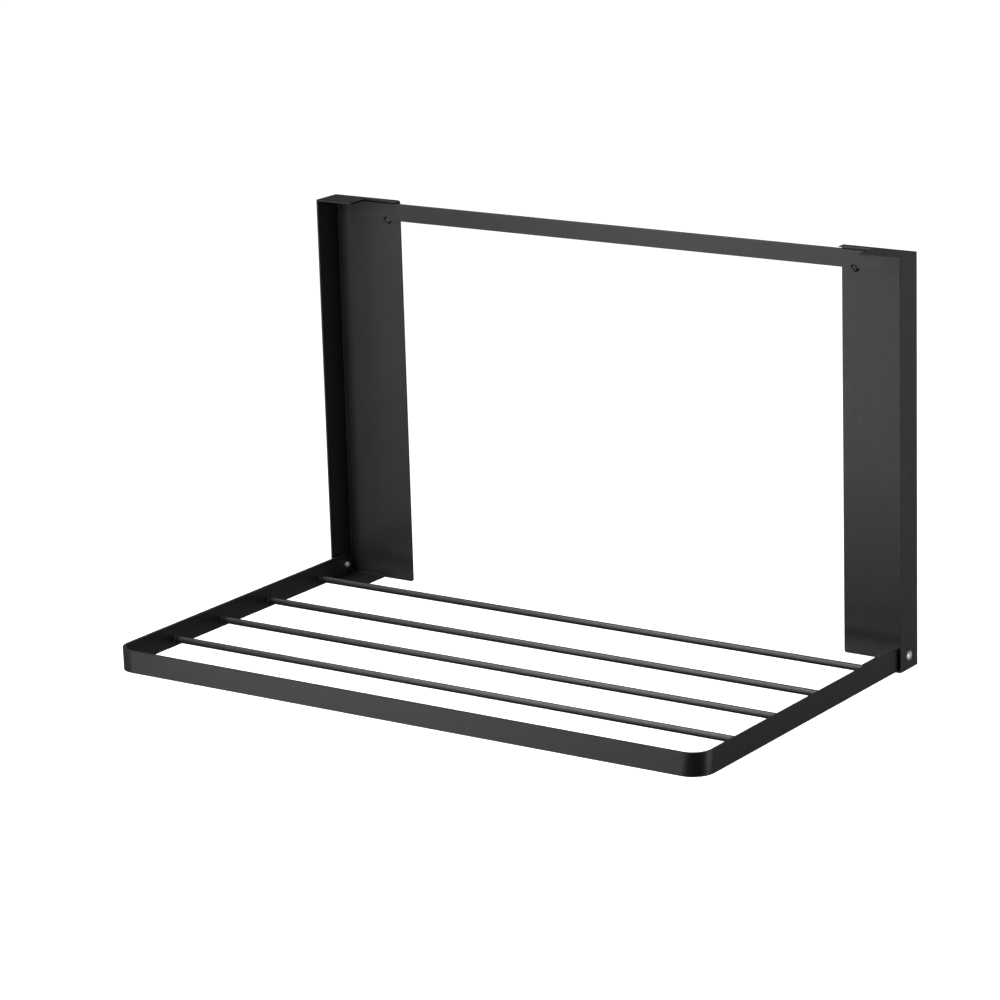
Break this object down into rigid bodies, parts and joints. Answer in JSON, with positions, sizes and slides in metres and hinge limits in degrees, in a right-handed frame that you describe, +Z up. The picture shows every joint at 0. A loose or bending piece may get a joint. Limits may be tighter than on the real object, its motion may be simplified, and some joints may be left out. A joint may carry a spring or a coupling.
{
  "type": "tyre storage rack",
  "caption": "Wall-hung fold-down rack: two bent steel uprights joined by a flat crossbar, carrying a rimmed shelf of flat bar and cross rods that swings up on side pivots.",
  "frame": {"origin": "midway between the two wall-fixing holes, on the wall plane at the back of the uprights", "axes": "+X along the rack's width to the viewer's right, +Y into the wall, +Z up; the open shelf reaches out along -Y"},
  "size_m": [1.005, 0.5885, 0.6],
  "materials": {
    "black_powder_coat": "satin black powder coat, fine orange peel",
    "zinc_plate": "bright zinc plate, lightly brushed"
  },
  "bodies": {
    "frame": {"left_upright": "black_powder_coat", "right_upright": "black_powder_coat", "crossbar": "black_powder_coat", "left_pivot_rivet": "zinc_plate", "right_pivot_rivet": "zinc_plate", "left_spacer_washer": "zinc_plate", "right_spacer_washer": "zinc_plate"},
    "shelf": {"shelf_band": "black_powder_coat", "rod_1": "black_powder_coat", "rod_2": "black_powder_coat", "rod_3": "black_powder_coat", "rod_4": "black_powder_coat"}
  },
  "joints": [
    {"name": "shelf_fold", "type": "hinge", "parent": "frame", "child": "shelf", "pos_m": [0, -0.0265, -0.5482], "axis": [-1, 0, 0], "range_deg": [0, 90]}
  ]
}
